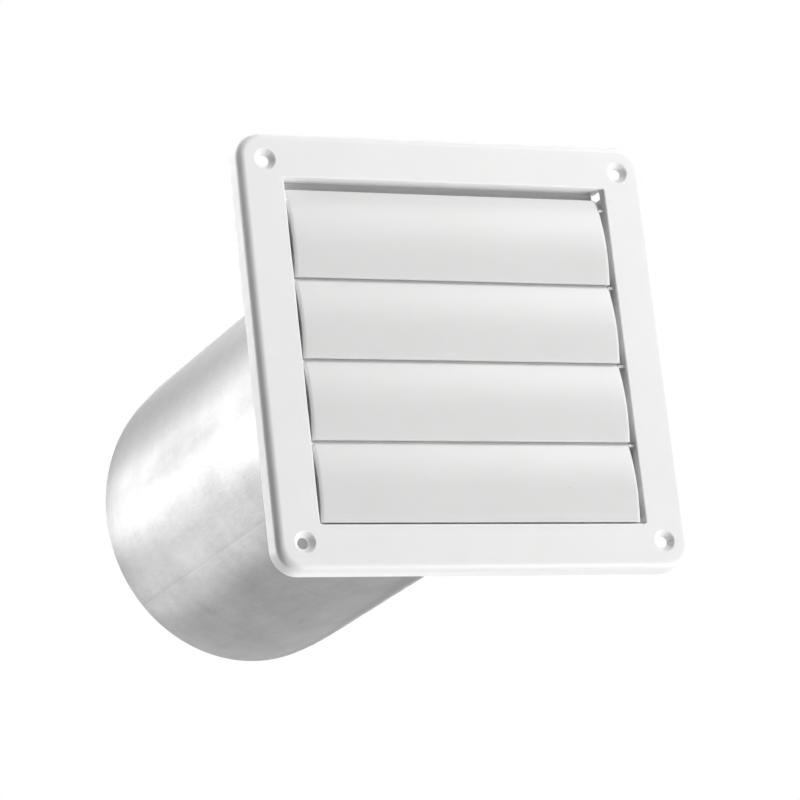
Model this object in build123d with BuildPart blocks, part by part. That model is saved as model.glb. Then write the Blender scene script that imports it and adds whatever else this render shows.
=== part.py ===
from build123d import *
from math import hypot, sqrt
import os

# Louvred wall vent for a round duct. Sizes in millimetres, angles in degrees.
# X runs to the right, Y into the wall and Z up. The wall plane is Y = 0, on the pipe's axis.

# Tail pipe, rolled from sheet
pipe_outer = 101.6
pipe_wall = 0.5
pipe_length = 180.0
seam_angle = 219.5
seam_width = 1.2
seam_depth = 0.15

# Hood, one moulding
throat_margin = 2.65
border = 14.1
plate_corner = 8.0
plate_edge = 2.5
face_thickness = 2.2
skirt_wall = 2.0
opening_corner = 0.8
opening_edge = 0.4
throat_wall = 2.0
back_wall = 1.0
collar_wall = 1.5
collar_length = 20.0
collar_clearance = 0.1
relief_depth = 3.3
relief_height = 2.5
relief_inset = 1.5
screw_inset = 5.35
screw_radius = 1.75
screw_head_radius = 3.4
stop_thickness = 1.2
stop_height = 2.2
stop_gap = 0.85

# Louvres, four alike
louvre_count = 4
louvre_thickness = 1.0
face_radius = 47.0
louvre_proud = 1.0
top_gap = 3.28
bottom_gap = 0.54
end_gap = 1.22
end_shift = 0.62
end_fall = 0.6
end_run = 1.2
lap = 2.8
lap_gap = 0.4
end_wall = 1.2
flange_depth = 4.9
flange_rise = 6.6
pivot_drop = 3.6
pin_radius = 0.5
pin_setback = 0.6
pin_clearance = 0.1
pin_end_play = 0.15
socket_depth = 1.8
swing_clearance = 0.2

# Opening, plate and screw places all follow from the pipe
opening = pipe_outer + 2 * throat_margin
plate_size = opening + 2 * border
throat_size = opening + 2 * throat_wall
tray_size = plate_size - 2 * skirt_wall
screw_spacing = opening + 2 * screw_inset
collar_outer = pipe_outer / 2 - pipe_wall - collar_clearance

# Each louvre hangs in front of the top of the next one, so its face arc steps
# back by one thickness and the lap gap over one pitch.
pitch = (opening - top_gap - bottom_gap - lap) / louvre_count
louvre_height = pitch + lap
louvre_width = opening - 2 * end_gap
lap_step = louvre_thickness + lap_gap
lap_chord = hypot(lap_step, pitch)
arc_reach = sqrt(face_radius**2 - lap_chord**2 / 4)
arc_height = pitch / 2 - arc_reach * lap_step / lap_chord
inner_radius = face_radius - louvre_thickness
foot_depth = face_radius - sqrt(inner_radius**2 - arc_height**2)

# The pins sit just behind the face, near the louvre's crest. The louvres stand a
# little proud of the hood, which is deep enough for the crest of an opened louvre
# to swing in front of the back wall.
pivot_height = louvre_height - pivot_drop
pivot_rise = pivot_height - arc_height
pivot_depth = face_radius - sqrt(face_radius**2 - pivot_rise**2) + pin_setback
crest_depth = face_radius - sqrt(inner_radius**2 - (louvre_height - arc_height)**2)
crest_reach = hypot(crest_depth - pivot_depth, pivot_drop)
hood_depth = pivot_depth + crest_reach + swing_clearance + back_wall - louvre_proud
louvre_front = -hood_depth - louvre_proud

# The louvres have play along their pins and lie towards the left of the opening.
pin_length = end_gap - end_shift + socket_depth - pin_end_play
pivot_y = louvre_front + pivot_depth
louvre_feet = [opening / 2 - top_gap - louvre_height - n * pitch for n in range(louvre_count)]
pivots = [(pivot_y, foot + pivot_height) for foot in louvre_feet]

wall_plane = Plane.XZ
front_plane = Plane.XZ.offset(hood_depth)
louvre_plane = Plane.YZ.offset(-end_shift)

os.makedirs("parts", exist_ok=True)

with BuildPart() as hood:
    # Square cap with a rounded front edge
    with BuildSketch(wall_plane):
        RectangleRounded(plate_size, plate_size, plate_corner)
    extrude(amount=hood_depth)
    fillet(hood.faces().sort_by(Axis.Y)[0].edges(), plate_edge)

    # Tray behind the face, open to the wall, round the throat
    with BuildSketch(wall_plane):
        RectangleRounded(tray_size, tray_size, plate_corner - skirt_wall)
        Rectangle(throat_size, throat_size, mode=Mode.SUBTRACT)
    extrude(amount=hood_depth - face_thickness, mode=Mode.SUBTRACT)

    # Throat, closed at the rear by the back wall
    with BuildSketch(front_plane):
        RectangleRounded(opening, opening, opening_corner)
    extrude(amount=back_wall - hood_depth, mode=Mode.SUBTRACT)
    fillet(hood.faces().sort_by(Axis.Y)[0].inner_wires()[0].edges(), opening_edge)

    # Collar that carries the pipe
    with BuildSketch(wall_plane):
        Circle(collar_outer)
    extrude(amount=-collar_length)
    with BuildSketch(wall_plane.offset(back_wall)):
        Circle(collar_outer - collar_wall)
    extrude(amount=-back_wall - collar_length, mode=Mode.SUBTRACT)

    # Stop for the lowest louvre, on the sill
    stop_y = louvre_front + foot_depth + stop_gap + stop_thickness / 2
    stop_z = (stop_height - opening) / 2
    with BuildSketch(Plane.YZ):
        with Locations((stop_y, stop_z)):
            Rectangle(stop_thickness, stop_height)
    extrude(amount=opening / 2, both=True)

    # Reliefs through the back and side walls at the throat's two upper corners
    relief_x = (opening + throat_wall - relief_inset) / 2
    relief_z = (opening - relief_height) / 2
    corner_x = (opening + throat_wall) / 2
    with BuildSketch(wall_plane):
        with Locations((-relief_x, relief_z), (relief_x, relief_z)):
            Rectangle(throat_wall + relief_inset, relief_height)
        with Locations((-corner_x, corner_x), (corner_x, corner_x)):
            Rectangle(throat_wall, throat_wall)
    extrude(amount=hood_depth - relief_depth, mode=Mode.SUBTRACT)

    # Blind sockets for the louvre pins in both side walls
    with BuildSketch(Plane.YZ.offset(opening / 2)):
        with Locations(*pivots):
            Circle(pin_radius + pin_clearance)
    extrude(amount=socket_depth, mode=Mode.SUBTRACT)
    with BuildSketch(Plane.YZ.offset(-opening / 2)):
        with Locations(*pivots):
            Circle(pin_radius + pin_clearance)
    extrude(amount=-socket_depth, mode=Mode.SUBTRACT)

    # Countersunk screw holes near the corners
    with Locations(front_plane):
        with GridLocations(screw_spacing, screw_spacing, 2, 2):
            CounterSinkHole(screw_radius, screw_head_radius, face_thickness)

hood.part.label = "hood"
export_step(hood.part, "parts/hood.step")

for n, foot in enumerate(louvre_feet):
    with BuildPart() as louvre:
        # Curved face, an arc across the louvre's height
        with BuildSketch(louvre_plane):
            with Locations((louvre_front + face_radius, foot + arc_height)):
                Circle(face_radius)
                Circle(inner_radius, mode=Mode.SUBTRACT)
            with Locations((louvre_front + face_radius / 2, foot + louvre_height / 2)):
                Rectangle(face_radius, louvre_height, mode=Mode.INTERSECT)
        extrude(amount=louvre_width / 2, both=True)

        # End flange behind the curve on both ends. It slopes back from the foot to
        # clear the crest of the next louvre down.
        flange_back = louvre_front + flange_depth
        outline = [
            (louvre_front, foot),
            (louvre_front + foot_depth, foot),
            (flange_back, foot + flange_rise),
            (flange_back, foot + pivot_height),
            (louvre_front + crest_depth, foot + louvre_height),
            (louvre_front, foot + louvre_height),
        ]
        with BuildSketch(louvre_plane.offset(louvre_width / 2 - end_wall)):
            with Locations((louvre_front + face_radius, foot + arc_height)):
                Circle(face_radius)
            Polygon(*outline, align=None, mode=Mode.INTERSECT)
        extrude(amount=end_wall)
        mirror(about=louvre_plane)

        # The face falls away towards both ends, a cone cut about the arc's axis
        arc_centre = (-end_shift, louvre_front + face_radius, foot + arc_height)
        edge = louvre_width / 2 - end_run
        cone = [
            (edge - end_run, face_radius + end_fall),
            (edge + 2 * end_run, face_radius - 2 * end_fall),
            (edge + 2 * end_run, face_radius + end_fall),
        ]
        with BuildSketch(Plane(arc_centre, x_dir=(1, 0, 0), z_dir=(0, 0, -1))):
            Polygon(*cone, align=None)
            mirror(about=Plane.YZ)
        revolve(axis=Axis(arc_centre, (1, 0, 0)), mode=Mode.SUBTRACT)

        # Pins on the end flanges
        for side in (-1, 1):
            with BuildSketch(louvre_plane.offset(side * louvre_width / 2)):
                with Locations(pivots[n]):
                    Circle(pin_radius)
            extrude(amount=side * pin_length)

    louvre.part.label = f"louvre_{n + 1}"
    export_step(louvre.part, f"parts/louvre_{n + 1}.step")

with BuildPart() as tail_pipe:
    # Thin tube with its rolled seam pressed in along the outside
    with BuildSketch(wall_plane):
        Circle(pipe_outer / 2)
        Circle(pipe_outer / 2 - pipe_wall, mode=Mode.SUBTRACT)
        with PolarLocations(pipe_outer / 2, 1, seam_angle):
            Rectangle(2 * seam_depth, seam_width, mode=Mode.SUBTRACT)
    extrude(amount=-pipe_length)

tail_pipe.part.label = "tail_pipe"
export_step(tail_pipe.part, "parts/tail_pipe.step")
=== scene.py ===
from math import radians

import bmesh
import bpy
from mathutils import Matrix, Vector


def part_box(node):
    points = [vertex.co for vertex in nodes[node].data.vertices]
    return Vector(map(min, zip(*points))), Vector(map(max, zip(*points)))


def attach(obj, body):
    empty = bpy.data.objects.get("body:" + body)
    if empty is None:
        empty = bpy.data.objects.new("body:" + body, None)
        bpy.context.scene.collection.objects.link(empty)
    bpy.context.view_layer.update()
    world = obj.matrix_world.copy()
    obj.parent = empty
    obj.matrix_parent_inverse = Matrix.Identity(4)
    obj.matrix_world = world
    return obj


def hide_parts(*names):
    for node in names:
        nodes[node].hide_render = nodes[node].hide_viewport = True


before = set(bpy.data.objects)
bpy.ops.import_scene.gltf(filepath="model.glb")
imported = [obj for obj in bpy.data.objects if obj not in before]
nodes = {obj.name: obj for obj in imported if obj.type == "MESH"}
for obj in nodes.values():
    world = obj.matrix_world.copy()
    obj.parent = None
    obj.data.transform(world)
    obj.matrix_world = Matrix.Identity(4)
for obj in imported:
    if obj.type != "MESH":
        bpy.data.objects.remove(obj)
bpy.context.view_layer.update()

mm = 0.001
print("frame loaded:", ", ".join(sorted(nodes)))


class Wire:
    # a node socket that takes part in Python sums, in shaders and in geometry trees
    def __init__(self, tree, socket=None):
        self.tree = tree
        self.socket = socket

    def make(self, kind, settings=None, inputs=None, out=0):
        node = self.tree.nodes.new(kind)
        for key, value in (settings or {}).items():
            setattr(node, key, value)
        for key, value in (inputs or {}).items():
            for one in value if isinstance(value, list) else [value]:
                if isinstance(one, Wire):
                    self.tree.links.new(one.socket, node.inputs[key])
                else:
                    node.inputs[key].default_value = one
        return Wire(self.tree, node.outputs[out]) if node.outputs else node

    def sums(self, operation, a, b=0.0):
        return self.make("ShaderNodeMath", {"operation": operation}, {0: a, 1: b})

    def __add__(self, other): return self.sums("ADD", self, other)
    def __radd__(self, other): return self.sums("ADD", other, self)
    def __sub__(self, other): return self.sums("SUBTRACT", self, other)
    def __rsub__(self, other): return self.sums("SUBTRACT", other, self)
    def __mul__(self, other): return self.sums("MULTIPLY", self, other)
    def __rmul__(self, other): return self.sums("MULTIPLY", other, self)
    def __truediv__(self, other): return self.sums("DIVIDE", self, other)
    def __pow__(self, other): return self.sums("POWER", self, other)
    def __gt__(self, other): return self.sums("GREATER_THAN", self, other)
    def __lt__(self, other): return self.sums("LESS_THAN", self, other)

    def split(self):
        node = self.tree.nodes.new("ShaderNodeSeparateXYZ")
        self.tree.links.new(self.socket, node.inputs[0])
        return [Wire(self.tree, socket) for socket in node.outputs]

    def fit(self, low, high, newLow=0.0, newHigh=1.0):
        # straight change of range, held at both ends
        return self.make("ShaderNodeMapRange", {"clamp": True}, {
            "Value": self, "From Min": low, "From Max": high, "To Min": newLow, "To Max": newHigh})


def newMaterial(name):
    material = bpy.data.materials.new(name)
    material.use_nodes = True
    material.node_tree.nodes.clear()
    w = Wire(material.node_tree)
    place = w.make("ShaderNodeTexCoord", out=3)
    return material, w, place


def finishMaterial(w, varying, fixed):
    shader = w.make("ShaderNodeBsdfPrincipled", None, {**fixed, **varying})
    w.make("ShaderNodeOutputMaterial", None, {"Surface": shader})


def noise(w, place, scale, detail=2.0, rough=0.5, stretch=None):
    if stretch:
        place = w.make("ShaderNodeMapping", None, {"Vector": place, "Scale": stretch})
    return w.make("ShaderNodeTexNoise", {"noise_dimensions": "3D"}, {
        "Vector": place, "Scale": scale, "Detail": detail, "Roughness": rough})


# materials

plasticSet = {
    "hoodPlastic": {
        "pale": (0.90, 0.90, 0.897, 1), "deep": (0.882, 0.882, 0.878, 1),
        "roughness": 0.36, "grain": 0.035, "glow": 0.0007},
    "louvrePlastic": {
        "pale": (0.77, 0.77, 0.767, 1), "deep": (0.752, 0.752, 0.748, 1),
        "roughness": 0.36, "grain": 0.035, "glow": 0.0007}}
plasticGrain = {
    "driftScale": 32, "flowScale": 140, "fineScale": 2600, "bumpHeight": 0.0004,
    "dustScale": 130, "dustSize": 0.035, "dustPatch": 70, "dustColour": (0.45, 0.44, 0.42, 1)}


def plasticMaterial(name, pale, deep, roughness, grain, glow):
    material, w, place = newMaterial(name)
    drift = noise(w, place, plasticGrain["driftScale"], 3)  # slow drift of the moulding's tone
    flow = noise(w, place, plasticGrain["flowScale"], 2)  # faint flow marks
    fine = noise(w, place, plasticGrain["fineScale"], 2, 0.6)  # spark-eroded mould finish
    dust = w.make("ShaderNodeTexVoronoi", {"feature": "F1"}, {
        "Vector": place, "Scale": plasticGrain["dustScale"]})
    specks = (dust < plasticGrain["dustSize"]) * (noise(w, place, plasticGrain["dustPatch"], 1) > 0.62)
    tone = w.make("ShaderNodeMix", {"data_type": "RGBA"}, {
        0: (drift * 0.7 + flow * 0.3).fit(0.35, 0.65), 6: deep, 7: pale}, 2)
    colour = w.make("ShaderNodeMix", {"data_type": "RGBA"}, {
        0: specks * 0.35, 6: tone, 7: plasticGrain["dustColour"]}, 2)
    bump = w.make("ShaderNodeBump", None, {
        "Strength": grain, "Distance": plasticGrain["bumpHeight"], "Height": fine + flow * 0.6})
    finishMaterial(w, {
        "Base Color": colour, "Roughness": (roughness - 0.04) + flow * 0.06 + fine * 0.03, "Normal": bump},
        {"IOR": 1.5, "Subsurface Weight": 0.4, "Subsurface Radius": (1, 1, 1), "Subsurface Scale": glow})
    return material


seamTurn = radians(219.5 - 360)  # place of the pipe's seam, from the right and upwards
pipeMetalSet = {
    "bright": (0.36, 0.36, 0.363, 1), "dull": (0.288, 0.288, 0.292, 1), "mark": (0.2, 0.2, 0.2, 1),
    "edgeTint": (0.6, 0.6, 0.6, 1), "roughness": 0.33, "bumpStrength": 0.14, "bumpHeight": 0.0005}
pipeGrain = {"stainScale": 34, "mottleScale": 170, "speckleScale": 1300, "rubScale": 520, "pitScale": 120}


def pipeMetal(name, bright, dull, mark, edgeTint, roughness, bumpStrength, bumpHeight):
    material, w, place = newMaterial(name)
    x, y, z = place.split()
    lengthwise, crosswise = (1, 0.3, 1), (0.07, 1, 0.07)  # stretch of the marks
    stain = noise(w, place, pipeGrain["stainScale"], 5, 0.6)  # handling marks and stains
    mottle = noise(w, place, pipeGrain["mottleScale"], 4, 0.62, lengthwise)
    speckle = noise(w, place, pipeGrain["speckleScale"], 3, 0.7, lengthwise)  # fine grain of the mill finish
    rub = noise(w, place, pipeGrain["rubScale"], 3, 0.6, crosswise)  # faint lines round the pipe
    spots = w.make("ShaderNodeTexVoronoi", {"feature": "F1"}, {
        "Vector": place, "Scale": pipeGrain["pitScale"]})
    pits = (spots < 0.05) * (mottle > 0.56)
    away = w.sums("ABSOLUTE", w.sums("ARCTAN2", z, x) - seamTurn)
    seam = 1 - away.fit(0.002, 0.007)
    dullness = (stain * 0.4 + mottle * 0.25 + speckle * 0.25 + rub * 0.1).fit(0.40, 0.62)
    sheet = w.make("ShaderNodeMix", {"data_type": "RGBA"}, {0: dullness, 6: bright, 7: dull}, 2)
    marked = w.make("ShaderNodeMix", {"data_type": "RGBA"}, {
        0: pits * 0.45 + seam * 0.18, 6: sheet, 7: mark}, 2)
    bump = w.make("ShaderNodeBump", None, {
        "Strength": bumpStrength, "Distance": bumpHeight,
        "Height": mottle * 0.4 + speckle * 0.7 + rub * 0.15 + stain * 0.8})
    finishMaterial(w, {
        "Base Color": marked, "Roughness": roughness - 0.09 + stain * 0.12 + mottle * 0.08, "Normal": bump},
        {"Metallic": 1.0, "Specular Tint": edgeTint})
    return material


hoodPlastic = plasticMaterial("hoodPlastic", **plasticSet["hoodPlastic"])
louvrePlastic = plasticMaterial("louvrePlastic", **plasticSet["louvrePlastic"])
pipeSheet = pipeMetal("pipeSheet", **pipeMetalSet)
print("materials made")


def newTree(name, sizes):
    # geometry tree with one named number for each size, and a material
    tree = bpy.data.node_groups.new(name, "GeometryNodeTree")
    tree.interface.new_socket("Geometry", in_out="OUTPUT", socket_type="NodeSocketGeometry")
    for key in sizes:
        tree.interface.new_socket(key, in_out="INPUT", socket_type="NodeSocketFloat")
    tree.interface.new_socket("Finish", in_out="INPUT", socket_type="NodeSocketMaterial")
    entry = tree.nodes.new("NodeGroupInput")
    size = {socket.name: Wire(tree, socket) for socket in entry.outputs if socket.name}
    return tree, Wire(tree), size


def endTree(w, shape, size):
    real = w.make("GeometryNodeRealizeInstances", None, {0: shape})
    done = w.make("GeometryNodeSetMaterial", None, {"Geometry": real, "Material": size["Finish"]})
    w.make("NodeGroupOutput", None, {0: done})


def growTree(name, tree, sizes, finish):
    # runs a tree on an empty object and keeps the result as a plain mesh
    holder = bpy.data.objects.new(name + "Holder", bpy.data.meshes.new(name + "Start"))
    bpy.context.scene.collection.objects.link(holder)
    modifier = holder.modifiers.new("grow", "NODES")
    modifier.node_group = tree
    keys = {item.name: item.identifier for item in tree.interface.items_tree if item.in_out == "INPUT"}
    for key, value in sizes.items():
        modifier[keys[key]] = value
    modifier[keys["Finish"]] = finish
    evaluated = holder.evaluated_get(bpy.context.evaluated_depsgraph_get())
    mesh = bpy.data.meshes.new_from_object(evaluated)
    mesh.name = name
    holder.modifiers.clear()
    bpy.data.objects.remove(holder)
    piece = bpy.data.objects.new(name, mesh)
    bpy.context.scene.collection.objects.link(piece)
    return piece


def tidyMesh(mesh, join, flat):
    # joins doubled points and melts edges between faces in one plane
    work = bmesh.new()
    work.from_mesh(mesh)
    bmesh.ops.remove_doubles(work, verts=work.verts, dist=join)
    bmesh.ops.dissolve_limit(work, angle_limit=flat, verts=work.verts, edges=work.edges)
    bmesh.ops.recalc_face_normals(work, faces=work.faces)
    for face in work.faces:
        face.smooth = True
    work.to_mesh(mesh)
    work.free()


def softEdges(piece, width, steps, angle=35):
    bevel = piece.modifiers.new("softEdges", "BEVEL")
    bevel.width = width
    bevel.segments = steps
    bevel.limit_method = "ANGLE"
    bevel.angle_limit = radians(angle)
    bevel.use_clamp_overlap = True
    weights = piece.modifiers.new("evenShade", "WEIGHTED_NORMAL")
    weights.keep_sharp = True
    weights.weight = 90


# hood, a merged copy of its solid with eased edges

hoodSet = {"edgeEase": 0.00018, "edgeSteps": 2}


def makeHood(edgeEase, edgeSteps):
    mesh = nodes["hood"].data.copy()
    mesh.name = "ventHood"
    mesh.materials.clear()
    mesh.materials.append(hoodPlastic)
    tidyMesh(mesh, 1e-6, radians(0.05))
    piece = bpy.data.objects.new("ventHood", mesh)
    bpy.context.scene.collection.objects.link(piece)
    softEdges(piece, edgeEase, edgeSteps)
    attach(piece, "hood")
    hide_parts("hood")


makeHood(**hoodSet)
print("hood made")

# louvres, one tree run once for each body

louvreSet = {
    "Width": 104.46 * mm, "Face Radius": 47 * mm, "Thickness": 1.0 * mm, "Arc Height": 10.0097 * mm,
    "End Wall": 1.2 * mm, "End Fall": 0.6 * mm, "Flange Depth": 4.9 * mm, "Flange Rise": 6.6 * mm,
    "Pivot Drop": 3.6 * mm, "Pivot Depth": 2.8156 * mm, "Pin Radius": 0.5 * mm, "Pin Length": 2.25 * mm}
louvreLook = {"arcSteps": 48, "roundSteps": 32, "edgeEase": 0.0003, "edgeSteps": 3}


def louvreTree(arcSteps, roundSteps):
    tree, w, size = newTree("louvreTree", ["Middle", "Front", "Foot", "Height", *louvreSet])
    index = w.make("GeometryNodeInputIndex")
    inner = index > arcSteps - 0.5
    step = w.sums("MINIMUM", index, (2 * arcSteps - 1) - index) / (arcSteps - 1)
    rise = step * size["Height"] - size["Arc Height"]

    def crossSection(fall):
        # up the face arc, then down the inner arc
        radius = size["Face Radius"] - inner * size["Thickness"] - (1 - inner) * fall
        back = size["Face Radius"] - w.sums("SQRT", radius * radius - rise * rise)
        place = w.make("ShaderNodeCombineXYZ", None, {
            0: size["Front"] + back, 1: size["Foot"] + step * size["Height"]})
        ring = w.make("GeometryNodeCurvePrimitiveCircle", {"mode": "RADIUS"}, {"Resolution": 2 * arcSteps})
        ring = w.make("GeometryNodeSetPosition", None, {"Geometry": ring, "Position": place})
        return w.make("GeometryNodeFillCurve", {"mode": "NGONS"}, {"Curve": ring})

    flat = crossSection(0.0)
    fallen = crossSection(size["End Fall"])
    base = w.make("GeometryNodeFlipFaces", None, {"Mesh": flat})

    def shift(shape, x=0.0, y=0.0, z=0.0):
        move = w.make("ShaderNodeCombineXYZ", None, {0: x, 1: y, 2: z})
        return w.make("GeometryNodeTransform", None, {"Geometry": shape, "Translation": move})

    def drawOut(length):
        way = w.make("ShaderNodeCombineXYZ", None, {2: length})
        skin = w.make("GeometryNodeExtrudeMesh", {"mode": "FACES"}, {
            "Mesh": flat, "Offset": way, "Offset Scale": 1.0, "Individual": False})
        both = w.make("GeometryNodeJoinGeometry", None, {0: [skin, base]})
        return w.make("GeometryNodeMergeByDistance", None, {"Geometry": both, "Distance": 1e-6})

    def rod(rodRadius, length):
        return w.make("GeometryNodeMeshCylinder", {"fill_type": "NGON"}, {
            "Vertices": roundSteps, "Radius": rodRadius, "Depth": length})

    half = size["Width"] / 2
    pivotY = size["Front"] + size["Pivot Depth"]
    pivotZ = size["Foot"] + size["Height"] - size["Pivot Drop"]
    face = shift(drawOut(size["Width"] - 2 * size["End Wall"]), z=size["End Wall"] - half)
    # end flange: everything between the curve, which falls away outwards,
    # and a straight edge behind it
    top = w.make("ShaderNodeCombineXYZ", None, {1: pivotZ - size["Foot"] - size["Flange Rise"]})
    edge = w.make("GeometryNodeMeshLine", {"mode": "OFFSET"}, {"Count": 2, "Offset": top})
    edge = shift(edge, size["Front"] + size["Flange Depth"], size["Foot"] + size["Flange Rise"])

    def flange(inside, outside):
        parts = [inside, shift(outside, z=size["End Wall"]), edge, shift(edge, z=size["End Wall"])]
        return w.make("GeometryNodeConvexHull", None, {0: w.make("GeometryNodeJoinGeometry", None, {0: parts})})

    bury = 0.4 * mm  # how far the pin starts inside its wall
    pin = rod(size["Pin Radius"], size["Pin Length"] + bury)
    reach = half + (size["Pin Length"] - bury) / 2
    pieces = [
        face, shift(flange(flat, fallen), z=half - size["End Wall"]), shift(flange(fallen, flat), z=-1 * half),
        shift(pin, pivotY, pivotZ, reach), shift(pin, pivotY, pivotZ, -1 * reach)]
    whole = w.make("GeometryNodeMeshBoolean", {"operation": "UNION", "solver": "EXACT"}, {"Mesh 2": pieces})
    # drawn flat, so it is turned to stand across the opening
    across = w.make("ShaderNodeCombineXYZ", None, {0: size["Middle"]})
    stood = w.make("GeometryNodeTransform", None, {
        "Geometry": whole, "Translation": across, "Rotation": (radians(90), 0, radians(90))})
    endTree(w, stood, size)
    return tree


def makeLouvres(arcSteps, roundSteps, edgeEase, edgeSteps):
    tree = louvreTree(arcSteps, roundSteps)
    for number in range(1, 5):
        node = f"louvre_{number}"
        low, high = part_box(node)
        sizes = {
            **louvreSet, "Middle": (low.x + high.x) / 2,
            "Front": low.y, "Foot": low.z, "Height": high.z - low.z}
        piece = growTree(f"ventLouvre{number}", tree, sizes, louvrePlastic)
        tidyMesh(piece.data, 1e-6, radians(0.05))
        softEdges(piece, edgeEase, edgeSteps)
        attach(piece, node)
        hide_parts(node)


makeLouvres(**louvreLook)
print("louvres made")

# tail pipe, rolled sheet that springs a little out of round towards its free end

pipeSet = {
    "Seam Angle": seamTurn, "Seam Width": 0.7 * mm, "Seam Depth": 0.05 * mm,
    "Collar": 20 * mm, "Oval": 1.5 * mm, "Oval Turn": radians(-6), "Wave": 0.05 * mm,
    "Curl": 0.7 * mm, "Curl Length": 22 * mm}
pipeLook = {"around": 880, "along": 40, "wall": 0.0005, "rimEase": 0.0001}
waveLook = {"scale": 28, "spread": 0.05}  # spread is about the pipe's radius


def pipeTree(around, along):
    tree, w, size = newTree("pipeTree", ["Radius", "Length", *pipeSet])
    tube = w.make("GeometryNodeMeshCylinder", {"fill_type": "NONE"}, {
        "Vertices": around, "Side Segments": along, "Radius": 1.0, "Depth": 1.0})
    x, y, z = w.make("GeometryNodeInputPosition").split()
    angle = w.sums("ARCTAN2", y, x)
    run = (z + 0.5) * size["Length"]
    free = w.sums("MAXIMUM", run - size["Collar"], 0.0) / (size["Length"] - size["Collar"])
    oval = size["Oval"] * free * w.sums("COSINE", 2 * (angle - size["Oval Turn"]))
    aside = w.sums("ABSOLUTE", angle - size["Seam Angle"]) * size["Radius"]
    groove = size["Seam Depth"] * w.sums("MAXIMUM", 1 - aside / size["Seam Width"], 0.0)
    wavePlace = w.make("ShaderNodeCombineXYZ", None, {
        0: x * waveLook["spread"], 1: run, 2: y * waveLook["spread"]})
    wave = noise(w, wavePlace, waveLook["scale"], 2) - 0.5
    curl = w.sums("MAXIMUM", run - (size["Length"] - size["Curl Length"]), 0.0) / size["Curl Length"]
    radius = size["Radius"] - oval - groove + 2 * size["Wave"] * wave * w.sums("MINIMUM", 4 * free, 1.0)
    radius = radius - size["Curl"] * curl ** 3
    place = w.make("ShaderNodeCombineXYZ", None, {0: x * radius, 1: run, 2: y * radius})
    tube = w.make("GeometryNodeSetPosition", None, {"Geometry": tube, "Position": place})
    endTree(w, tube, size)
    return tree


def makePipe(around, along, wall, rimEase):
    low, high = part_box("tail_pipe")
    sizes = {**pipeSet, "Radius": (high.x - low.x) / 2, "Length": high.y - low.y}
    piece = growTree("ventPipe", pipeTree(around, along), sizes, pipeSheet)
    tidyMesh(piece.data, 1e-7, 0.0)
    thick = piece.modifiers.new("sheet", "SOLIDIFY")
    thick.thickness = wall
    thick.offset = -1
    softEdges(piece, rimEase, 2, 60)
    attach(piece, "hood")
    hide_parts("tail_pipe")


makePipe(**pipeLook)
print("pipe made")

# studio

cameraSet = {
    "place": (-0.49946, -1.0164, -0.32142), "right": (0.91147, -0.39697, -0.10789),
    "up": (-0.01081, -0.28531, 0.95837), "lens": 176.04, "sensor": 36, "farEnd": 20}


def makeCamera(place, right, up, lens, sensor, farEnd):
    data = bpy.data.cameras.new("photoCamera")
    data.lens = lens
    data.sensor_width = sensor
    data.clip_end = farEnd
    camera = bpy.data.objects.new("photoCamera", data)
    bpy.context.scene.collection.objects.link(camera)
    right, up = Vector(right).normalized(), Vector(up).normalized()
    turn = Matrix((right, up, right.cross(up))).transposed()
    camera.matrix_world = Matrix.Translation(place) @ turn.to_4x4()
    bpy.context.scene.camera = camera


makeCamera(**cameraSet)

# each lamp has its place, its width in metres and its power in watts
lampSet = {"aim": (0, 0.06, 0), "lamps": {
    "rightLow": ((1.2, -1.16, -1.2), 0.9, 25.5),
    "underRight": ((0.39, -0.35, -1.18), 0.7, 4.0),
    "frontRight": ((1.2, -1.16, 1.2), 0.9, 24.5),
    "frontHigh": ((0, -0.97, 0.75), 0.7, 2.2),
    "rightHigh": ((0.55, 0.04, 1.18), 0.7, 3.5),
    "topRear": ((0, 0.59, 1.18), 0.7, 2.6),
    "rearLeftHigh": ((-0.75, 0.79, 0.75), 0.7, 4.6),
    "rearLeft": ((-0.77, 1.02, 0), 0.35, 2.6),
    "rearRight": ((0.456, 1.18, 0.263), 0.35, 2.0),
    "rearHigh": ((0, 1.02, 0.77), 0.35, 1.0),
    "rearLow": ((0.22, 1.18, -0.40), 0.7, 0.95),
    "underRear": ((0, 0.59, -1.18), 0.7, 1.4),
    "pipeTop": ((-0.35, 0.1, 0.35), 0.4, 0.6),
    "pipeLeft": ((-0.456, 1.18, 0.263), 0.35, 1.25),
    "pipeLeftHigh": ((-0.545, 1.02, 0.545), 0.35, 1.38),
    "pipeLeftLow": ((-0.5, 1.1, -0.4), 0.5, 1.35)}}


def makeLamps(aim, lamps):
    for name, (place, size, power) in lamps.items():
        data = bpy.data.lights.new(name, "AREA")
        data.size = size
        data.energy = power
        lamp = bpy.data.objects.new(name, data)
        bpy.context.scene.collection.objects.link(lamp)
        lamp.location = place
        lamp.rotation_euler = (Vector(place) - Vector(aim)).to_track_quat("Z", "Y").to_euler()
        lamp.visible_camera = False


makeLamps(**lampSet)

worldSet = {"ambient": 0.02}


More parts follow.
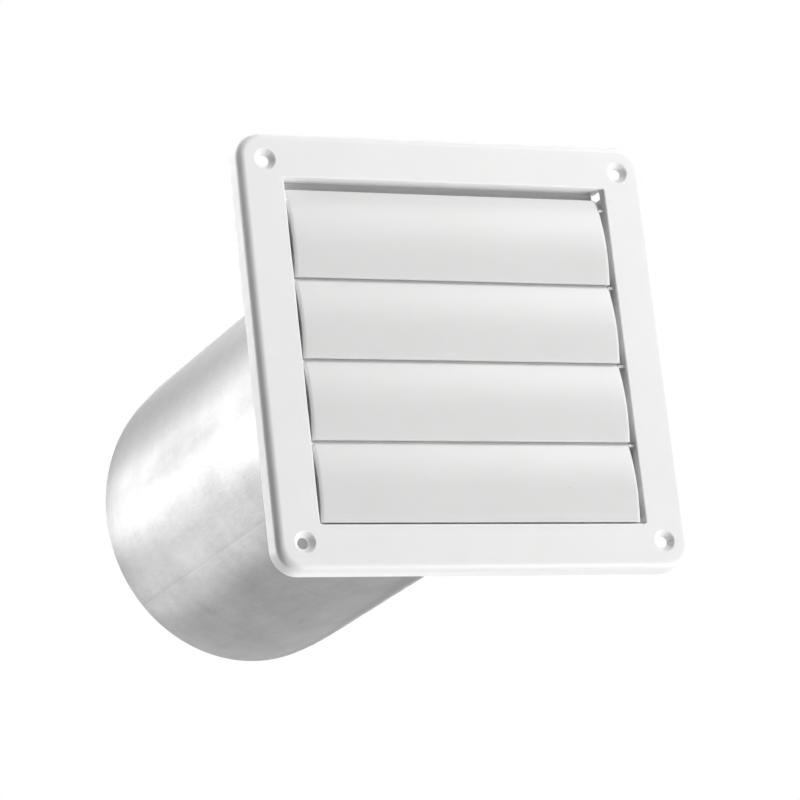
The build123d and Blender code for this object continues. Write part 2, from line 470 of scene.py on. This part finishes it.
def seenRays(w):
    # 1 for rays that show a surface to the camera, straight, mirrored or through glass
    ray = w.tree.nodes.new("ShaderNodeLightPath")
    camera, glossy, through = (Wire(w.tree, ray.outputs[key]) for key in (
        "Is Camera Ray", "Is Glossy Ray", "Is Transmission Ray"))
    return w.sums("MAXIMUM", camera, w.sums("MAXIMUM", glossy, through))


def makeWorld(ambient):
    world = bpy.data.worlds.new("studio")
    bpy.context.scene.world = world
    world.use_nodes = True
    world.node_tree.nodes.clear()
    w = Wire(world.node_tree)
    room = w.make("ShaderNodeBackground", None, {"Color": (1, 1, 1, 1), "Strength": ambient})
    paper = w.make("ShaderNodeBackground", None, {"Color": (1, 1, 1, 1), "Strength": 1.0})
    mixed = w.make("ShaderNodeMixShader", None, {0: seenRays(w), 1: room, 2: paper})
    w.make("ShaderNodeOutputWorld", None, {"Surface": mixed})


makeWorld(**worldSet)

floorSet = {
    "height": -1.7, "half": 4.0, "shade": 0.3,
    "deep": (0.80, 0.80, 0.80, 1), "pale": (0.84, 0.84, 0.84, 1)}


def makeFloor(height, half, shade, deep, pale):
    mesh = bpy.data.meshes.new("paleFloor")
    corners = [(x * half, y * half, height) for x, y in ((-1, -1), (1, -1), (1, 1), (-1, 1))]
    mesh.from_pydata(corners, [], [(0, 1, 2, 3)])
    material, w, place = newMaterial("paleFloor")
    drift = noise(w, place, 3, 2)
    colour = w.make("ShaderNodeMix", {"data_type": "RGBA"}, {0: drift, 6: deep, 7: pale}, 2)
    lit = w.make("ShaderNodeBsdfPrincipled", None, {"Base Color": colour, "Roughness": 0.9})
    paper = w.make("ShaderNodeEmission", None, {"Color": (1, 1, 1, 1), "Strength": 1.0})
    # the lit share keeps the shadow on the floor
    mixed = w.make("ShaderNodeMixShader", None, {0: seenRays(w) * (1 - shade), 1: lit, 2: paper})
    w.make("ShaderNodeOutputMaterial", None, {"Surface": mixed})
    mesh.materials.append(material)
    floor = bpy.data.objects.new("paleFloor", mesh)
    bpy.context.scene.collection.objects.link(floor)


makeFloor(**floorSet)
bpy.context.scene.view_settings.view_transform = "Standard"
print("studio made")
